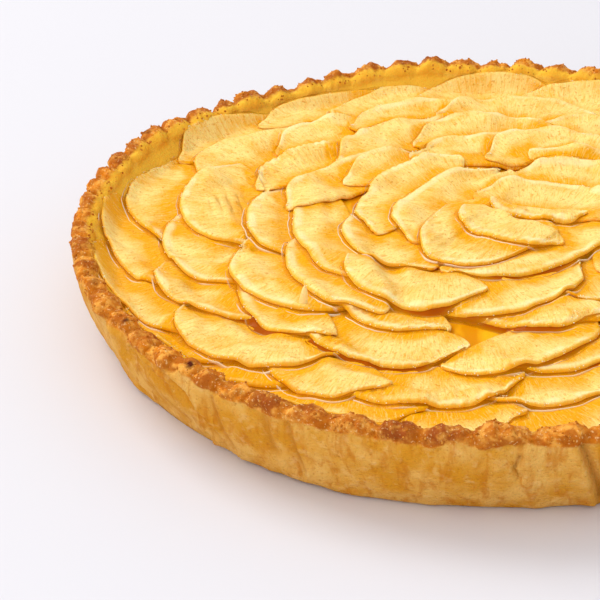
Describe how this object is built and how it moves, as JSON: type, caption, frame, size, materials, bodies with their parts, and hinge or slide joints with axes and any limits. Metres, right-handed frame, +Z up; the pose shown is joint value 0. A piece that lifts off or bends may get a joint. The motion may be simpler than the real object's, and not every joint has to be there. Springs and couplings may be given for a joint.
{
  "type": "apple tart",
  "caption": "Round apple tart: a crimped pastry case filled with a pale filling and covered with thin apple slices laid as an open rose.",
  "frame": {"origin": "centre of the tart's underside, on the surface that it stands on", "axes": "+Z up through the middle of the tart; +X to the right and -Y towards the viewer in the picture"},
  "size_m": [0.2791, 0.2791, 0.0336],
  "materials": {
    "pastry": "matte, baked golden brown",
    "filling": "glossy, pale yellow",
    "apple": "glossy, glazed"
  },
  "bodies": {
    "root": {"pastry_case": "pastry", "filling": "filling", "apple_outer_ring": "apple", "apple_2_01": "apple", "apple_2_02": "apple", "apple_2_03": "apple", "apple_2_04": "apple", "apple_2_05": "apple", "apple_2_06": "apple", "apple_2_07": "apple", "apple_2_08": "apple", "apple_2_09": "apple", "apple_2_10": "apple", "apple_2_11": "apple", "apple_2_12": "apple", "apple_2_13": "apple", "apple_2_14": "apple", "apple_2_15": "apple", "apple_2_16": "apple", "apple_2_17": "apple", "apple_2_18": "apple", "apple_3_01": "apple", "apple_3_02": "apple", "apple_3_03": "apple", "apple_3_04": "apple", "apple_3_05": "apple", "apple_3_06": "apple", "apple_3_07": "apple", "apple_3_08": "apple", "apple_3_09": "apple", "apple_3_10": "apple", "apple_3_11": "apple", "apple_3_12": "apple", "apple_3_13": "apple", "apple_3_14": "apple", "apple_4_01": "apple", "apple_4_02": "apple", "apple_4_03": "apple", "apple_4_04": "apple", "apple_4_05": "apple", "apple_4_06": "apple", "apple_4_07": "apple", "apple_4_08": "apple", "apple_4_09": "apple", "apple_4_10": "apple", "apple_4_11": "apple", "apple_4_12": "apple", "apple_5_01": "apple", "apple_5_02": "apple", "apple_5_03": "apple", "apple_5_04": "apple", "apple_5_05": "apple", "apple_5_06": "apple", "apple_5_07": "apple", "apple_6_01": "apple", "apple_6_02": "apple", "apple_6_03": "apple", "apple_6_04": "apple", "apple_6_05": "apple", "apple_6_06": "apple"}
  },
  "joints": []
}
